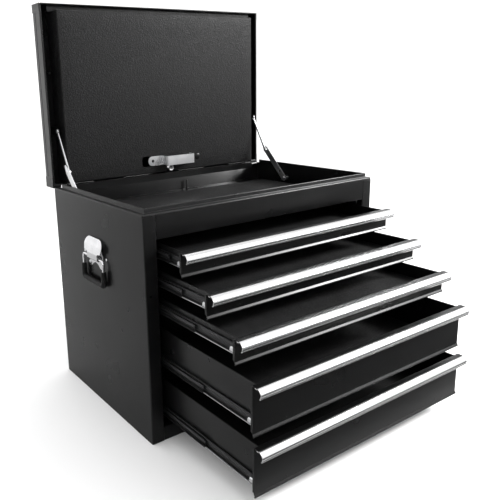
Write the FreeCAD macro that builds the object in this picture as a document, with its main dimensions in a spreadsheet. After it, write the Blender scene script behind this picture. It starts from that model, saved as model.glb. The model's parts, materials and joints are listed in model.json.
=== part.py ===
"""Five-drawer top tool chest with a lift-up lid, drop handles and ball-bearing drawer slides.

Units are millimetres. The origin is the centre of the underside, +Z is up, the drawers open towards -Y
and +X is to the right of a person facing the drawers. The chest is drawn with its lid open at a right
angle and its drawers pulled out by pull_out_1 to pull_out_5.
"""
import FreeCAD, Part
import math
import os
import re
import sys

Vector = FreeCAD.Vector
Rotation = FreeCAD.Rotation

DRAWERS = (1, 2, 3, 4, 5)
SHALLOW_DRAWERS = (1, 2, 3)
HINGE_KNUCKLES = 7
SIDES = {"left": -1, "right": 1}
ALONG_X = Rotation(Vector(0, 1, 0), 90)
ALONG_Y = Rotation(Vector(1, 0, 0), -90)

DIMENSIONS = {
    # cabinet
    "width": 660, "depth": 430, "height": 491, "sheet": 1.2,
    "stile_width": 30, "fold_depth": 15, "header_bottom": 438,
    "base_rail_top": 32, "base_rail_bottom": 3, "back_height": 487,
    "rim_inset": 10, "rim_rise": 10, "rim_drop": 21, "rim_stop": 190,
    "floor_level": 441, "mat_thickness": 5, "mat_half_width": 308,
    "mat_front": -200, "mat_back": 160,
    # drawers; heights inside a drawer are measured from the bottom edge of its front
    "front_bottom_1": 378.5, "front_bottom_2": 320.5, "front_bottom_3": 262.5,
    "front_bottom_4": 148.5, "front_bottom_5": 34.5,
    "shallow_front": 49, "deep_front": 97, "wall_below_front_top": 1.5, "ledge_reach": 9,
    "pull_out_1": 76, "pull_out_2": 154, "pull_out_3": 232, "pull_out_4": 278, "pull_out_5": 282,
    "front_half_width": 296, "front_sheet": 1.5, "lip_reach": 3, "lip_rise": 6, "lip_edge": 2,
    "tray_half_width": 286.5, "tray_floor": 16, "tray_back": 175,
    "liner_thickness": 1.5, "liner_gap": 2,
    # drawer pulls
    "pull_radius": 9, "pull_wall": 2, "pull_neck": 13, "pull_leg": 22,
    # slides
    "slide_front": -210, "slide_length": 380, "slide_floor": 17.5, "slide_tall": 20,
    "slide_sheet": 1.2, "inner_slide_wide": 4, "middle_slide_start": 291.1,
    "middle_slide_wide": 4.8, "outer_slide_wide": 3.8, "middle_slide_trim": 2,
    "bracket_wide": 24, "bracket_front": -198, "bracket_rear": 140, "bracket_bottom": 34, "bracket_top": 436,
    # lid and its hinge
    "hinge_back": 217, "hinge_radius": 3, "hinge_bore": 1.55, "pin_radius": 1.5,
    "hinge_half_length": 308, "leaf_wide": 24, "leaf_sheet": 0.9, "leaf_reach": 4, "leaf_overlap": 1,
    "knuckle_gap": 0.4, "stem_back": 1.5,
    "lid_deep": 45.2, "lid_rim": 217.3, "lid_low": 494.3, "lid_high": 924.5,
    # panel inside the lid
    "panel_half_width": 297, "panel_face": 200.3, "panel_low": 498, "panel_step": 909,
    "panel_high": 921, "step_face": 228.3, "step_half_width": 309, "panel_return": 25,
    # strap and lock on that panel
    "strap_low": 518, "strap_tall": 25, "strap_rise": 27, "strap_sheet": 2,
    "strap_foot_left": -66, "strap_left": -20, "strap_right": 68, "strap_foot_right": 110,
    "lock_across": 4, "lock_up": 508.5, "lock_radius": 8.5, "plug_radius": 6, "plug_fit": 0.06,
    "lock_proud": 6, "lock_deep": 24, "cam_long": 26, "cam_wide": 11, "cam_sheet": 2,
    # lid stays
    "stay_lid_back": 212, "stay_lid_up": 627, "stay_body_back": 82, "stay_body_up": 458,
    "stay_upper_length": 109, "stay_lower_length": 106, "stay_upper_wide": 6, "stay_lower_wide": 18,
    "stay_upper_eye": 5.5, "stay_lower_eye": 9, "tab_margin": 1,
    "stay_sheet": 2, "stay_upper_place": 311, "stay_lower_place": 315,
    "stud_radius": 3, "stud_fit": 0.06, "stud_head": 5, "head_thick": 1.3, "play": 0.3,
    # side handles
    "plate_half_width": 48, "plate_low": 348, "plate_high": 402, "plate_sheet": 1.5,
    "hood_half_width": 40, "hood_length": 31, "hood_slope": 30,
    "barrel_out": 338, "barrel_up": 362, "barrel_radius": 5.5, "barrel_half_length": 32, "barrel_web": 4,
    "bail_radius": 3, "bail_fit": 0.06, "bail_half_width": 49, "bail_drop": 56, "bail_tail": 30,
    "grip_radius": 7, "grip_leg_radius": 6, "grip_leg_top": 338,
    # drawer lock bar
    "bar_half_width": 10, "bar_front": 199, "bar_sheet": 3, "bar_low": 48, "bar_high": 430,
    "lug_reach": 9, "lug_rise": 20, "arm_tall": 6, "rod_across": 60, "rod_back": 204,
    "rod_radius": 3, "rod_high": 468, "rod_hole": 4.5,
}

doc = FreeCAD.newDocument("tool_chest")
dims = doc.addObject("Spreadsheet::Sheet", "dims")
for row, (alias, number) in enumerate(DIMENSIONS.items(), start=1):
    dims.set(f"A{row}", alias)
    dims.set(f"B{row}", str(number))
    dims.setAlias(f"B{row}", alias)
doc.recompute()

nodes = []


def size(alias):
    """The number that the sheet holds under this alias."""
    return float(getattr(dims, alias))


def with_sheet(text):
    """Puts the sheet's name before each alias in an expression."""
    return re.sub(r"[a-z_][a-z_0-9]*", lambda word: "dims." + word.group(0), str(text))


def bind(thing, prop, text):
    thing.setExpression(prop, with_sheet(text))


def place(thing, at, rotation=None):
    """Turns a piece and binds its position to the sheet."""
    if rotation is not None:
        thing.Placement = FreeCAD.Placement(Vector(0, 0, 0), rotation)
    for axis, text in zip("xyz", at):
        bind(thing, "Placement.Base." + axis, text)
    return thing


def box(label, lengths, at, rotation=None):
    thing = doc.addObject("Part::Box", label)
    for prop, text in zip(("Length", "Width", "Height"), lengths):
        bind(thing, prop, text)
    return place(thing, at, rotation)


def rod(label, radius, length, at, rotation=None):
    """A cylinder that starts at this point and runs along +Z unless it is turned."""
    thing = doc.addObject("Part::Cylinder", label)
    bind(thing, "Radius", radius)
    bind(thing, "Height", length)
    return place(thing, at, rotation)


def ball(label, radius, at):
    thing = doc.addObject("Part::Sphere", label)
    bind(thing, "Radius", radius)
    return place(thing, at)


def mirrored(side, start, length):
    """Where a piece begins along X so that it lies from start to start + length out from the middle."""
    return f"{start}" if side > 0 else f"-({start}) - ({length})"


def cut(label, base, *tools):
    for number, tool in enumerate(tools, start=1):
        thing = doc.addObject("Part::Cut", f"{label}_cut_{number}")
        thing.Base = base
        thing.Tool = tool
        base = thing
    return base


def fuse(label, pieces):
    thing = doc.addObject("Part::MultiFuse", label + "_fused")
    thing.Shapes = list(pieces)
    return thing


def group(label, pieces):
    thing = doc.addObject("Part::Compound", label + "_group")
    thing.Links = list(pieces)
    return thing


def node(label, thing, at=None):
    """Makes this object a sub-part: its label names its file."""
    thing.Label = label
    if at is not None:
        place(thing, at)
    nodes.append(thing)
    return thing


# ---------------------------------------------------------------- cabinet

def side_panel(name, side):
    """Side wall folded round to the front stile, with a weld stud for the lid stay."""
    label = name + "_side_panel"
    tall = "height - sheet"
    wall = box(label + "_wall", ("sheet", "depth", tall),
               (mirrored(side, "width / 2 - sheet", "sheet"), "-depth / 2", "0"))
    stile = box(label + "_stile", ("stile_width", "sheet", tall),
                (mirrored(side, "width / 2 - stile_width", "stile_width"), "-depth / 2", "0"))
    fold = box(label + "_fold", ("sheet", "fold_depth", "header_bottom - base_rail_top"),
               (mirrored(side, "width / 2 - stile_width", "sheet"), "-depth / 2 + sheet", "base_rail_top"))
    shank_length = "width / 2 - sheet - stay_lower_place + play"
    shank = rod(label + "_stud", "stud_radius", shank_length,
                (mirrored(side, "stay_lower_place - play", shank_length), "stay_body_back", "stay_body_up"),
                ALONG_X)
    head = rod(label + "_head", "stud_head", "head_thick",
               (mirrored(side, "stay_lower_place - play - head_thick", "head_thick"),
                "stay_body_back", "stay_body_up"), ALONG_X)
    node(label, fuse(label, (wall, stile, fold, shank, head)))


def back_and_bottom():
    inside = "width - 2 * sheet"
    node("back_panel", box("back_panel", (inside, "sheet", "back_height - sheet"),
                           ("-width / 2 + sheet", "depth / 2 - sheet", "sheet")))
    node("bottom_panel", box("bottom_panel", (inside, "depth - sheet", "sheet"),
                             ("-width / 2 + sheet", "-depth / 2 + sheet", "0")))


def front_rail(label, low, high, fold_low):
    """A rail between the stiles with one edge folded back."""
    across = "width - 2 * stile_width"
    left = "-width / 2 + stile_width"
    face = box(label + "_face", (across, "sheet", f"{high} - ({low})"), (left, "-depth / 2", low))
    fold = box(label + "_fold", (across, "fold_depth", "sheet"), (left, "-depth / 2 + sheet", fold_low))
    node(label, fuse(label, (face, fold)))


def top_rim():
    """Shoulder and raised lip along the front and both sides; the lid closes over it."""
    lip_tall = "rim_rise + rim_drop"
    lip_low = "height - rim_drop"
    front_shoulder = box("rim_front_shoulder", ("width", "rim_inset + sheet", "sheet"),
                         ("-width / 2", "-depth / 2", "height - sheet"))
    front_lip = box("rim_front_lip", ("width - 2 * rim_inset", "sheet", lip_tall),
                    ("-width / 2 + rim_inset", "-depth / 2 + rim_inset", lip_low))
    strips = [fuse("rim_front", (front_shoulder, front_lip))]
    for name, side in SIDES.items():
        start = "-depth / 2 + rim_inset + sheet"
        across = "rim_inset + sheet"
        shoulder = box(f"rim_{name}_shoulder", (across, f"depth / 2 - sheet - ({start})", "sheet"),
                       (mirrored(side, "width / 2 - rim_inset - sheet", across), start, "height - sheet"))
        lip = box(f"rim_{name}_lip", ("sheet", f"rim_stop - ({start})", lip_tall),
                  (mirrored(side, "width / 2 - rim_inset - sheet", "sheet"), start, lip_low))
        strips.append(fuse(f"rim_{name}", (shoulder, lip)))
    node("top_rim", group("top_rim", strips))


def compartment():
    pan = box("compartment_pan", ("width - 2 * sheet", "depth - 2 * sheet", "sheet"),
              ("-width / 2 + sheet", "-depth / 2 + sheet", "floor_level - sheet"))
    hole = rod("compartment_rod_hole", "rod_hole", "3 * sheet",
               ("rod_across", "rod_back", "floor_level - 2 * sheet"))
    node("compartment_floor", cut("compartment_floor", pan, hole))
    mat = box("compartment_mat", ("2 * mat_half_width", "mat_back - mat_front", "mat_thickness"),
              ("-mat_half_width", "mat_front", "floor_level"))
    node("compartment_mat", mat)


# ---------------------------------------------------------------- slides

def channel(label, side, start, wide, tall, up, opens_in):
    """A slide member: a web with a lip along its top and bottom, open towards or away from the drawer."""
    web_start = f"{start} + {wide} - slide_sheet" if opens_in else start
    length = "slide_length"
    web = box(label + "_web", ("slide_sheet", length, tall),
              (mirrored(side, web_start, "slide_sheet"), "slide_front", up))
    pieces = [web]
    for edge, low in (("low", up), ("high", f"{up} + {tall} - slide_sheet")):
        pieces.append(box(f"{label}_{edge}", (wide, length, "slide_sheet"),
                          (mirrored(side, start, wide), "slide_front", low)))
    return fuse(label, pieces)


def outer_slides():
    """The ten fixed members, screwed to the brackets."""
    members = []
    for number in DRAWERS:
        for name, side in SIDES.items():
            members.append(channel(f"outer_slide_{number}_{name}", side,
                                   "width / 2 - stile_width - outer_slide_wide", "outer_slide_wide",
                                   "slide_tall", f"front_bottom_{number} + slide_floor", True))
    node("outer_slide_members", group("outer_slide_members", members))


def slide_brackets():
    """Two upright channels inside each side wall, which the outer slide members are screwed to."""
    channels = []
    for name, side in SIDES.items():
        for end in ("front", "rear"):
            label = f"bracket_{name}_{end}"
            reach = "stile_width - sheet"
            tall = "bracket_top - bracket_bottom"
            solid = box(label + "_solid", (reach, "bracket_wide", tall),
                        (mirrored(side, "width / 2 - stile_width", reach), "bracket_" + end,
                         "bracket_bottom"))
            hollow = box(label + "_hollow", (reach, "bracket_wide - 2 * sheet", tall),
                         (mirrored(side, "width / 2 - stile_width + sheet", reach),
                          f"bracket_{end} + sheet", "bracket_bottom"))
            channels.append(cut(label, solid, hollow))
    node("slide_brackets", group("slide_brackets", channels))


def middle_slides(number):
    label = f"drawer_{number}_middle_slides"
    members = []
    for name, side in SIDES.items():
        members.append(channel(f"{label}_{name}", side, "middle_slide_start", "middle_slide_wide",
                               "slide_tall - 2 * middle_slide_trim", "slide_floor + middle_slide_trim",
                               False))
    node(label, group(label, members), ("0", f"-pull_out_{number} / 2", f"front_bottom_{number}"))


# ---------------------------------------------------------------- drawers

def front_height(number):
    return "shallow_front" if number in SHALLOW_DRAWERS else "deep_front"


def drawer_place(number):
    return ("0", f"-pull_out_{number}", f"front_bottom_{number}")


def drawer_tray(number):
    """Floor, two walls and back of one drawer, folded and spot-welded sheet."""
    label = f"drawer_{number}_tray"
    top = f"{front_height(number)} - wall_below_front_top"
    front = "-depth / 2 + front_sheet"
    long = f"tray_back - ({front})"
    tall = f"{top} - tray_floor - sheet"
    above_floor = "tray_floor + sheet"
    floor = box(label + "_floor", ("2 * tray_half_width", long, "sheet"),
                ("-tray_half_width", front, "tray_floor"))
    walls = [floor]
    for name, side in SIDES.items():
        walls.append(box(f"{label}_{name}", ("sheet", long, tall),
                         (mirrored(side, "tray_half_width - sheet", "sheet"), front, above_floor)))
    walls.append(box(label + "_back", ("2 * tray_half_width - 2 * sheet", "sheet", tall),
                     ("-tray_half_width + sheet", "tray_back - sheet", above_floor)))
    node(label, group(label, walls), drawer_place(number))


def drawer_front(number):
    """Flat front with a ledge bent forward along its top and a flared lip along its bottom edge."""
    label = f"drawer_{number}_front"
    plate = box(label + "_plate", ("2 * front_half_width", "front_sheet", front_height(number)),
                ("-front_half_width", "-depth / 2", "0"))
    ledge = box(label + "_ledge", ("2 * front_half_width", "ledge_reach", "front_sheet"),
                ("-front_half_width", "-depth / 2 - ledge_reach", f"{front_height(number)} - front_sheet"))
    lip = doc.addObject("Part::Wedge", label + "_lip")
    bind(lip, "Xmin", "0")
    bind(lip, "X2min", "0")
    bind(lip, "Xmax", "2 * front_half_width")
    bind(lip, "X2max", "2 * front_half_width")
    bind(lip, "Ymin", "0")
    bind(lip, "Ymax", "lip_reach")
    bind(lip, "Zmin", "0")
    bind(lip, "Z2min", "0")
    bind(lip, "Zmax", "lip_edge")
    bind(lip, "Z2max", "lip_rise")
    place(lip, ("-front_half_width", "-depth / 2 - lip_reach", "0"))
    node(label, fuse(label, (plate, ledge, lip)), drawer_place(number))


def drawer_pull(number):
    """Extruded pull under the ledge: a leg on the front, a flat neck and a hook to put fingers behind."""
    label = f"drawer_{number}_pull"
    top = front_height(number) + " - front_sheet"
    across = "2 * front_half_width"
    face = "-depth / 2"
    centre = ("-front_half_width", f"{face} - pull_neck", f"{top} - pull_radius")
    outside = rod(label + "_outside", "pull_radius", across, centre, ALONG_X)
    inside = rod(label + "_inside", "pull_radius - pull_wall", across, centre, ALONG_X)
    behind = box(label + "_behind", (across, "pull_neck", "2 * pull_radius"),
                 ("-front_half_width", f"{face} - pull_neck", f"{top} - 2 * pull_radius"))
    hook = cut(label + "_hook", outside, inside, behind)
    neck = box(label + "_neck", (across, "pull_neck", "pull_wall"),
               ("-front_half_width", f"{face} - pull_neck", f"{top} - pull_wall"))
    leg = box(label + "_leg", (across, "pull_wall", "pull_leg"),
              ("-front_half_width", f"{face} - pull_wall", f"{top} - pull_leg"))
    node(label, fuse(label, (hook, neck, leg)), drawer_place(number))


def inner_slides(number):
    label = f"drawer_{number}_inner_slides"
    members = []
    for name, side in SIDES.items():
        members.append(channel(f"{label}_{name}", side, "tray_half_width", "inner_slide_wide",
                               "slide_tall", "slide_floor", False))
    node(label, group(label, members), drawer_place(number))


def drawer_liner(number):
    label = f"drawer_{number}_liner"
    half = "(tray_half_width - sheet - liner_gap)"
    front = "-depth / 2 + front_sheet + liner_gap"
    back = "tray_back - sheet - liner_gap"
    liner = box(label + "_sheet", (f"2 * {half}", f"{back} - ({front})", "liner_thickness"),
                (f"-{half}", front, "tray_floor + sheet"))
    node(label, group(label, (liner,)), drawer_place(number))


# ---------------------------------------------------------------- lid

def lid_shell():
    """Pan-shaped lid standing open, with a welded tab and stud for each stay."""
    tall = "lid_high - lid_low"
    solid = box("lid_solid", ("width", "lid_deep", tall), ("-width / 2", "lid_rim", "lid_low"))
    hollow = box("lid_hollow", ("width - 2 * sheet", "lid_deep - sheet", f"{tall} - 2 * sheet"),
                 ("-width / 2 + sheet", "lid_rim", "lid_low + sheet"))
    pieces = [cut("lid_pan", solid, hollow)]
    tab_front = "stay_lid_back - stay_upper_eye - tab_margin"
    for name, side in SIDES.items():
        tab = box(f"lid_tab_{name}", ("stay_sheet", f"lid_rim + lid_deep - sheet - ({tab_front})",
                                      "4 * stay_upper_eye"),
                  (mirrored(side, "stay_upper_place - play - stay_sheet", "stay_sheet"),
                   tab_front, "stay_lid_up - 2 * stay_upper_eye"))
        shank_length = "stay_sheet + 2 * play"
        shank = rod(f"lid_stud_{name}", "stud_radius", shank_length,
                    (mirrored(side, "stay_upper_place - play", shank_length), "stay_lid_back", "stay_lid_up"),
                    ALONG_X)
        head = rod(f"lid_head_{name}", "stud_head", "head_thick",
                   (mirrored(side, "stay_upper_place + stay_sheet + play", "head_thick"),
                    "stay_lid_back", "stay_lid_up"), ALONG_X)
        pieces += [tab, shank, head]
    node("lid_shell", fuse("lid_shell", pieces))


def lid_inner_panel():
    """Panel over the hollow of the lid; its top edge steps back to clear the front rim as the lid closes."""
    left = "-panel_half_width"
    across = "2 * panel_half_width"
    back = "lid_rim + lid_deep - sheet"
    tall = "panel_step - panel_low"
    face = box("panel_plate", (across, "sheet", tall), (left, "panel_face", "panel_low"))
    pieces = [face]
    for name, side in SIDES.items():
        pieces.append(box(f"panel_return_{name}", ("sheet", f"{back} - panel_face", tall),
                          (mirrored(side, "panel_half_width - sheet", "sheet"), "panel_face", "panel_low")))
    pieces.append(box("panel_return_low", (across, "panel_return", "sheet"),
                      (left, "panel_face", "panel_low")))
    pieces.append(box("panel_return_high", (across, "step_face - panel_face + sheet", "sheet"),
                      (left, "panel_face", "panel_step - sheet")))
    pieces.append(box("panel_step_plate", ("2 * step_half_width", "sheet", "panel_high - panel_step + sheet"),
                      ("-step_half_width", "step_face", "panel_step - sheet")))
    hole = rod("panel_lock_hole", "lock_radius", "3 * sheet",
               ("lock_across", "panel_face - sheet", "lock_up"), ALONG_Y)
    node("lid_inner_panel", cut("lid_inner_panel", fuse("lid_inner_panel_blank", pieces), hole))


def lid_strap():
    """Hat-shaped strap standing off the panel, with a foot at each end."""
    tall = "strap_tall"
    face = "panel_face"
    pieces = []
    feet = (("left", "strap_foot_left", "strap_left"), ("right", "strap_right", "strap_foot_right"))
    for name, start, end in feet:
        pieces.append(box(f"strap_foot_{name}", (f"{end} - ({start})", "strap_sheet", tall),
                          (start, f"{face} - strap_sheet", "strap_low")))
    for name, start in (("left", "strap_left"), ("right", "strap_right - strap_sheet")):
        pieces.append(box(f"strap_riser_{name}", ("strap_sheet", "strap_rise", tall),
                          (start, f"{face} - strap_rise", "strap_low")))
    pieces.append(box("strap_bridge", ("strap_right - strap_left", "strap_sheet", tall),
                      ("strap_left", f"{face} - strap_rise", "strap_low")))
    node("lid_strap", fuse("lid_strap", pieces))


def lid_lock():
    """Cylinder lock: a fixed barrel, and a plug and cam that turn together."""
    centre = ("lock_across", "panel_face - lock_proud", "lock_up")
    barrel = rod("lock_barrel_solid", "lock_radius", "lock_proud + lock_deep", centre, ALONG_Y)
    bore = rod("lock_barrel_bore", "plug_radius + plug_fit", "lock_proud + lock_deep", centre, ALONG_Y)
    node("lock_barrel", cut("lock_barrel", barrel, bore))
    node("lock_plug", rod("lock_plug", "plug_radius", "lock_proud + lock_deep + play", centre, ALONG_Y))
    cam = box("lock_cam", ("cam_wide", "cam_sheet", "cam_long"),
              ("lock_across - cam_wide / 2", "panel_face + lock_deep + play", "lock_up - cam_wide / 2"))
    node("lock_cam", cam)


def knuckle_edges(first):
    """Where every second knuckle of the hinge begins and how long it is, counted in even lengths."""
    step = f"(2 * hinge_half_length / {HINGE_KNUCKLES})"
    return [(f"-hinge_half_length + {number} * {step}", f"{step} - knuckle_gap")
            for number in range(first, HINGE_KNUCKLES, 2)]


def hinge():
    """Long hinge behind the top edge: fixed leaf, moving leaf and one pin."""
    left = "-hinge_half_length"
    long = "2 * hinge_half_length - knuckle_gap"
    under_lid = "lid_low - leaf_sheet"
    fixed = [box("fixed_leaf_plate", (long, "leaf_sheet", "leaf_wide"),
                 (left, "depth / 2", "back_height - leaf_wide"))]
    moving = [box("moving_leaf_plate", (long, "leaf_wide", "leaf_sheet"),
                  (left, "hinge_back + leaf_reach", under_lid))]
    for number, (start, across) in enumerate(knuckle_edges(0)):
        fixed.append(rod(f"fixed_knuckle_{number}", "hinge_radius", across,
                         (start, "hinge_back", "height"), ALONG_X))
        fixed.append(box(f"fixed_web_{number}", (across, "leaf_sheet", "height - back_height + leaf_overlap"),
                         (start, "depth / 2", "back_height - leaf_overlap")))
    for number, (start, across) in enumerate(knuckle_edges(1)):
        moving.append(rod(f"moving_knuckle_{number}", "hinge_radius", across,
                          (start, "hinge_back", "height"), ALONG_X))
        moving.append(box(f"moving_web_{number}", (across, "leaf_reach + leaf_overlap", "leaf_sheet"),
                          (start, "hinge_back", under_lid)))
        moving.append(box(f"moving_stem_{number}", (across, "leaf_sheet", "lid_low - height"),
                          (start, "hinge_back + stem_back", "height")))
    for label, pieces in (("hinge_leaf_fixed", fixed), ("hinge_leaf_moving", moving)):
        bore = rod(label + "_bore", "hinge_bore", "2 * hinge_half_length + knuckle_gap",
                   (left + " - knuckle_gap", "hinge_back", "height"), ALONG_X)
        node(label, cut(label, fuse(label + "_blank", pieces), bore))
    node("hinge_pin", rod("hinge_pin", "pin_radius", long, (left, "hinge_back", "height"), ALONG_X))


# ---------------------------------------------------------------- lid stays

def stay_knuckle(lid_back, lid_up):
    """Where the two links of a stay meet, on the rear side of the line between their far ends."""
    upper, lower = size("stay_upper_length"), size("stay_lower_length")
    across = size("stay_body_back") - lid_back
    down = size("stay_body_up") - lid_up
    reach = math.hypot(across, down)
    along = (upper ** 2 - lower ** 2 + reach ** 2) / (2 * reach)
    off = math.sqrt(upper ** 2 - along ** 2)
    unit_y, unit_z = across / reach, down / reach
    return lid_back + along * unit_y - off * unit_z, lid_up + along * unit_z + off * unit_y


def link(label, side, place_x, length, wide, eye, end_x, start_point, end_point):
    """A flat bar with round ends, a hole at its pivot and a rivet head at its far end."""
    bar = box(label + "_bar", ("stay_sheet", length, wide),
              (mirrored(side, place_x, "stay_sheet"), "0", f"-{wide} / 2"))
    pieces = [bar]
    for end, along in (("pivot", "0"), ("far", length)):
        pieces.append(rod(f"{label}_{end}_end", eye, "stay_sheet",
                          (mirrored(side, place_x, "stay_sheet"), along, "0"), ALONG_X))
    pieces.append(rod(label + "_rivet", "stud_head", "head_thick",
                      (mirrored(side, end_x, "head_thick"), length, "0"), ALONG_X))
    hole = rod(label + "_hole", "stud_radius + stud_fit", "3 * stay_sheet",
               (mirrored(side, f"{place_x} - stay_sheet", "3 * stay_sheet"), "0", "0"), ALONG_X)
    thing = cut(label, fuse(label + "_blank", pieces), hole)
    angle = math.degrees(math.atan2(end_point[1] - start_point[1], end_point[0] - start_point[0]))
    thing.Placement = FreeCAD.Placement(Vector(0, *start_point), Rotation(Vector(1, 0, 0), angle))
    node(label, thing)


def lid_stays():
    """Folding stays. The links lie in two planes, so that they pass each other as they fold."""
    on_lid = (size("stay_lid_back"), size("stay_lid_up"))
    on_body = (size("stay_body_back"), size("stay_body_up"))
    knuckle = stay_knuckle(*on_lid)
    for name, side in SIDES.items():
        link(name + "_stay_upper", side, "stay_upper_place", "stay_upper_length", "stay_upper_wide",
             "stay_upper_eye", "stay_upper_place - head_thick", on_lid, knuckle)
        link(name + "_stay_lower", side, "stay_lower_place", "stay_lower_length", "stay_lower_wide",
             "stay_lower_eye", "stay_lower_place + stay_sheet", on_body, knuckle)


# ---------------------------------------------------------------- side handles

def handle_plates():
    """Wall plate, sloping hood and barrel of both drop handles."""
    wall = "width / 2"
    plates = []
    for name, side in SIDES.items():
        label = name + "_handle"
        plate = box(label + "_plate", ("plate_sheet", "2 * plate_half_width", "plate_high - plate_low"),
                    (mirrored(side, wall, "plate_sheet"), "-plate_half_width", "plate_low"))
        slope = Rotation(Vector(0, 1, 0), -side * size("hood_slope"))
        hood = box(label + "_hood", ("plate_sheet", "2 * hood_half_width", "hood_length"),
                   ("0", "0", "0"))
        turned = group(label + "_hood_place", (hood,))
        shift = "0" if side > 0 else "-plate_sheet"
        bind(hood, "Placement.Base.x", shift)
        bind(hood, "Placement.Base.z", "-hood_length")
        place(turned, (f"{side} * ({wall})", "-hood_half_width", "plate_high"), slope)
        web = box(label + "_web", ("barrel_out - width / 2", "2 * barrel_half_length", "barrel_web"),
                  (mirrored(side, wall, "barrel_out - width / 2"), "-barrel_half_length",
                   "barrel_up - barrel_web / 2"))
        barrel = rod(label + "_barrel", "barrel_radius", "2 * barrel_half_length",
                     (f"{side} * barrel_out", "-barrel_half_length", "barrel_up"), ALONG_Y)
        bore = rod(label + "_bore", "bail_radius + bail_fit", "2 * barrel_half_length",
                   (f"{side} * barrel_out", "-barrel_half_length", "barrel_up"), ALONG_Y)
        plates.append(cut(label, fuse(label + "_blank", (plate, turned, web, barrel)), bore))
    node("handle_plates", group("handle_plates", plates))


def drop_handle(name, side):
    """A bent rod that hangs from the barrel, with a moulded grip on its lower half."""
    out = f"{side} * barrel_out"
    low = "barrel_up - bail_drop"
    rods = []
    sleeves = []
    for end, sign in (("rear", 1), ("front", -1)):
        label = f"{name}_bail_{end}"
        across = f"{sign} * bail_half_width"
        tail_start = "bail_half_width - bail_tail" if sign > 0 else "-bail_half_width"
        rods.append(rod(label + "_tail", "bail_radius", "bail_tail", (out, tail_start, "barrel_up"), ALONG_Y))
        rods.append(rod(label + "_leg", "bail_radius", "bail_drop", (out, across, low)))
        rods.append(ball(label + "_high_bend", "bail_radius", (out, across, "barrel_up")))
        rods.append(ball(label + "_low_bend", "bail_radius", (out, across, low)))
        sleeves.append(rod(label + "_grip_leg", "grip_leg_radius", f"grip_leg_top - ({low})",
                           (out, across, low)))
        sleeves.append(ball(label + "_grip_bend", "grip_leg_radius", (out, across, low)))
    rods.append(rod(f"{name}_bail_base", "bail_radius", "2 * bail_half_width",
                    (out, "-bail_half_width", low), ALONG_Y))
    sleeves.append(rod(f"{name}_grip_base", "grip_radius", "2 * bail_half_width - 2 * grip_radius",
                       (out, "-bail_half_width + grip_radius", low), ALONG_Y))
    sleeves.append(rod(f"{name}_grip_ends", "grip_leg_radius", "2 * bail_half_width",
                       (out, "-bail_half_width", low), ALONG_Y))
    bail = node(f"{name}_bail", fuse(f"{name}_bail", rods))
    node(f"{name}_grip", cut(f"{name}_grip", fuse(f"{name}_grip_blank", sleeves), bail))


# ---------------------------------------------------------------- drawer lock bar

def drawer_lock_bar():
    """Upright bar behind the drawers with a lug for each; its rod comes up through the compartment floor."""
    pieces = [box("bar_plate", ("2 * bar_half_width", "bar_sheet", "bar_high - bar_low"),
                  ("-bar_half_width", "bar_front", "bar_low"))]
    for number in DRAWERS:
        pieces.append(box(f"bar_lug_{number}", ("2 * bar_half_width", "lug_reach", "bar_sheet"),
                          ("-bar_half_width", "bar_front - lug_reach",
                           f"front_bottom_{number} + tray_floor + lug_rise")))
    arm_low = "bar_high - arm_tall"
    pieces.append(box("bar_arm", ("rod_across + rod_radius + bar_half_width", "2 * rod_radius", "arm_tall"),
                      ("-bar_half_width", "rod_back - rod_radius", arm_low)))
    pieces.append(rod("bar_rod", "rod_radius", f"rod_high - ({arm_low})",
                      ("rod_across", "rod_back", arm_low)))
    node("drawer_lock_bar", fuse("drawer_lock_bar", pieces))


# ---------------------------------------------------------------- model

for side_name, side_sign in SIDES.items():
    side_panel(side_name, side_sign)
back_and_bottom()
front_rail("header_rail", "header_bottom", "height - sheet", "header_bottom")
front_rail("base_rail", "base_rail_bottom", "base_rail_top", "base_rail_top - sheet")
top_rim()
compartment()
slide_brackets()
outer_slides()
handle_plates()
hinge()
for drawer_number in DRAWERS:
    drawer_tray(drawer_number)
    drawer_front(drawer_number)
    drawer_pull(drawer_number)
    drawer_liner(drawer_number)
    inner_slides(drawer_number)
    middle_slides(drawer_number)
lid_shell()
lid_inner_panel()
lid_strap()
lid_lock()
lid_stays()
for side_name, side_sign in SIDES.items():
    drop_handle(side_name, side_sign)
drawer_lock_bar()

doc.recompute()

failed = [thing.Label for thing in doc.Objects if {"Invalid", "Error"} & set(thing.State)]
failed += [thing.Label for thing in nodes if thing.Shape.isNull() or not thing.Shape.isValid()]
if failed:
    sys.exit("these objects failed: " + ", ".join(failed))

os.makedirs("parts", exist_ok=True)
for thing in nodes:
    thing.Shape.exportStep(os.path.join("parts", thing.Label + ".step"))
    print(f"{thing.Label:28s} solids {len(thing.Shape.Solids):2d}  volume {thing.Shape.Volume:12.1f}")
print(len(nodes), "sub-parts")
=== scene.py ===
"""Looks for a five-drawer top tool chest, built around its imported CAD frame.

Lengths are metres in the CAD frame: +Z is up, the drawers open towards -Y, and MM turns millimetres into
metres. Formed sheet-metal pieces are made here with rolled corners and hems, and stand for the plain CAD
solids in the same place. Everything else keeps its CAD shape, with its edges eased.
"""

import json
import math

import bmesh
import bpy
from mathutils import Matrix, Vector


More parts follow.
